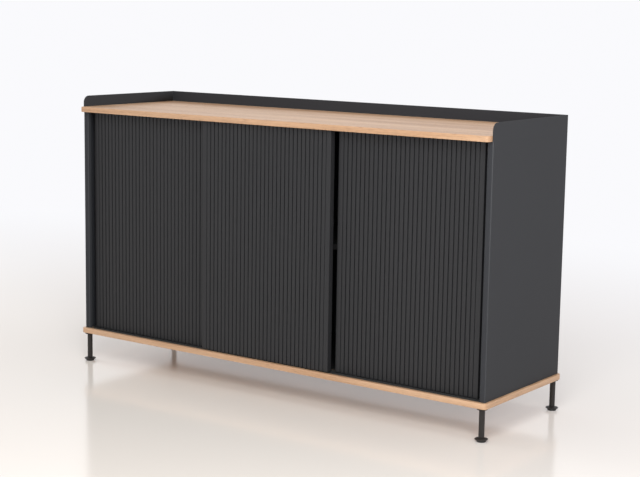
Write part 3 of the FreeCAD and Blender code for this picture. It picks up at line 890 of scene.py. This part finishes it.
def floor_finish(settings):
    """A glossy floor that shows the shadow and fades into the far floor."""
    finish = bpy.data.materials.new("Studio floor")
    finish.use_nodes = True
    tree = finish.node_tree
    surface = node_of(tree, "BSDF_PRINCIPLED")
    surface.inputs["Base Color"].default_value = settings.floor
    surface.inputs["Roughness"].default_value = FLOOR_ROUGHNESS
    surface.inputs["Specular IOR Level"].default_value = FLOOR_SPECULAR
    spot = place(tree, "ShaderNodeTexCoord", {}).outputs["Object"]
    inputs = {0: spot, 1: FADE_CENTRE}
    distance = place(tree, "ShaderNodeVectorMath", inputs, operation="DISTANCE").outputs["Value"]
    far = ramp(tree, distance, *FADE_BY_DISTANCE, shape="SMOOTHSTEP")
    depth = place(tree, "ShaderNodeSeparateXYZ", {0: spot}).outputs["Y"]
    ahead = ramp(tree, depth, *FADE_IN_FRONT, shape="SMOOTHSTEP")
    fade = calculate(tree, "MAXIMUM", far, ahead)
    share = calculate(tree, "MULTIPLY", fade, seen_rays(tree))
    glow = place(tree, "ShaderNodeEmission", {"Color": settings.far_floor, "Strength": 1.0})
    inputs = {0: share, 1: surface.outputs[0], 2: glow.outputs[0]}
    faded = place(tree, "ShaderNodeMixShader", inputs).outputs[0]
    tree.links.new(faded, node_of(tree, "OUTPUT_MATERIAL").inputs["Surface"])
    return finish


def lay_floor(settings):
    corners = at_level(rectangle(-FLOOR_REACH, FLOOR_REACH, -FLOOR_REACH, FLOOR_REACH), 0)
    data = bpy.data.meshes.new("floor")
    data.from_pydata(corners, [], [(0, 1, 2, 3)])
    data.materials.append(floor_finish(settings))
    floor = bpy.data.objects.new("floor", data)
    bpy.context.scene.collection.objects.link(floor)


def light_world(settings):
    world = bpy.data.worlds.new("Studio")
    world.use_nodes = True
    tree = world.node_tree
    background = node_of(tree, "BACKGROUND")
    seen = seen_rays(tree)
    strength = ramp(tree, seen, low=0.0, high=1.0, start=settings.sky, end=1.0)
    tint = blend(tree, seen, settings.warm, settings.far_floor)
    tree.links.new(tint, background.inputs["Color"])
    tree.links.new(strength, background.inputs["Strength"])
    bpy.context.scene.world = world


def hang_lamp(name, watts, tint, in_gloss=False):
    """A round lamp that glossy surfaces show only where asked."""
    size, spot, aim = LAMPS[name]
    lamp = bpy.data.lights.new(name, "AREA")
    lamp.shape = "DISK"
    lamp.color = tint[:3]
    lamp.size = size
    lamp.energy = watts
    holder = bpy.data.objects.new(name, lamp)
    holder.location = spot
    holder.rotation_euler = (Vector(aim) - Vector(spot)).to_track_quat("-Z", "Y").to_euler()
    holder.visible_glossy = in_gloss
    bpy.context.scene.collection.objects.link(holder)
    return holder


def light_bends(settings):
    """A lamp on the right that only the steel shell reflects, and that lights no surface."""
    shell = bpy.data.objects.get("folded_shell")
    if shell is None:
        return
    holder = hang_lamp("edge", settings.edge, settings.white, in_gloss=True)
    holder.visible_diffuse = False
    reflecting = bpy.data.collections.new("reflects the edge lamp")
    reflecting.objects.link(shell)
    holder.light_linking.receiver_collection = reflecting


def aim_camera(settings):
    yaw, pitch, roll = settings.yaw, settings.pitch, settings.roll
    ahead = Vector((
        -math.sin(yaw) * math.cos(pitch),
        math.cos(yaw) * math.cos(pitch),
        -math.sin(pitch),
    ))
    level = Vector((math.cos(yaw), math.sin(yaw), 0))
    upward = level.cross(ahead)
    right = math.cos(roll) * level + math.sin(roll) * upward
    above = math.cos(roll) * upward - math.sin(roll) * level
    turned = Matrix((right, above, -ahead)).transposed().to_4x4()
    camera = bpy.data.cameras.new("camera")
    camera.lens = settings.lens
    camera.sensor_width = SENSOR_WIDTH
    camera.sensor_fit = "HORIZONTAL"
    holder = bpy.data.objects.new("camera", camera)
    holder.matrix_world = Matrix.Translation(settings.eye) @ turned
    bpy.context.scene.collection.objects.link(holder)
    bpy.context.scene.camera = holder


# Operators

class SIDEBOARD_OT_shell(bpy.types.Operator):
    """Fold the steel shell round the carcass"""
    bl_idname = "sideboard.shell"
    bl_label = "Steel shell"

    def execute(self, context):
        build_shell(context.scene.sideboard.shell)
        return {"FINISHED"}


class SIDEBOARD_OT_boards(bpy.types.Operator):
    """Build the oak top and base"""
    bl_idname = "sideboard.boards"
    bl_label = "Oak boards"

    def execute(self, context):
        build_boards(context.scene.sideboard.boards)
        return {"FINISHED"}


class SIDEBOARD_OT_doors(bpy.types.Operator):
    """Build the ribs and stiles of the three doors and paint their panels"""
    bl_idname = "sideboard.doors"
    bl_label = "Ribbed doors"

    def execute(self, context):
        build_doors(context.scene.sideboard.doors)
        return {"FINISHED"}


class SIDEBOARD_OT_legs(bpy.types.Operator):
    """Turn the legs, feet, pads and collars"""
    bl_idname = "sideboard.legs"
    bl_label = "Legs and feet"

    def execute(self, context):
        build_legs(context.scene.sideboard.legs)
        return {"FINISHED"}


class SIDEBOARD_OT_inside(bpy.types.Operator):
    """Lay dark sheets of painted shade in the bays and finish the panels, shelves, tracks and
    fasteners
    """
    bl_idname = "sideboard.inside"
    bl_label = "Inside and fittings"

    def execute(self, context):
        finish_inside(context.scene.sideboard.inside, context.scene.sideboard.shell)
        return {"FINISHED"}


class SIDEBOARD_OT_stage(bpy.types.Operator):
    """Lay the floor, hang the lamps and set up the camera"""
    bl_idname = "sideboard.stage"
    bl_label = "Stage"

    def execute(self, context):
        settings = context.scene.sideboard.stage
        context.scene.view_settings.view_transform = "Standard"
        lay_floor(settings)
        light_world(settings)
        hang_lamp("overhead", settings.overhead, settings.cool)
        hang_lamp("front", settings.front, settings.white)
        hang_lamp("right", settings.right, settings.white)
        hang_lamp("left", settings.left, settings.cool)
        light_bends(settings)
        aim_camera(settings)
        return {"FINISHED"}


OPERATORS = (
    SIDEBOARD_OT_shell,
    SIDEBOARD_OT_boards,
    SIDEBOARD_OT_doors,
    SIDEBOARD_OT_legs,
    SIDEBOARD_OT_inside,
    SIDEBOARD_OT_stage,
)


class SIDEBOARD_PT_panel(bpy.types.Panel):
    bl_label = "Sideboard"
    bl_idname = "SIDEBOARD_PT_panel"
    bl_space_type = "VIEW_3D"
    bl_region_type = "UI"
    bl_category = "Sideboard"

    def draw(self, context):
        settings = context.scene.sideboard
        for operator, name in zip(OPERATORS, SETTINGS):
            column = self.layout.box().column()
            column.operator(operator.bl_idname)
            for entry in SETTINGS[name].__annotations__:
                column.prop(getattr(settings, name), entry)


CLASSES = (*SETTINGS.values(), SideboardSettings, *OPERATORS, SIDEBOARD_PT_panel)


def register():
    for entry in CLASSES:
        bpy.utils.register_class(entry)
    bpy.types.Scene.sideboard = PointerProperty(type=SideboardSettings)


def unregister():
    del bpy.types.Scene.sideboard
    for entry in reversed(CLASSES):
        bpy.utils.unregister_class(entry)


def main():
    register()
    bpy.ops.sideboard.shell()
    bpy.ops.sideboard.boards()
    bpy.ops.sideboard.doors()
    bpy.ops.sideboard.legs()
    bpy.ops.sideboard.inside()
    bpy.ops.sideboard.stage()


if __name__ == "__main__":
    main()
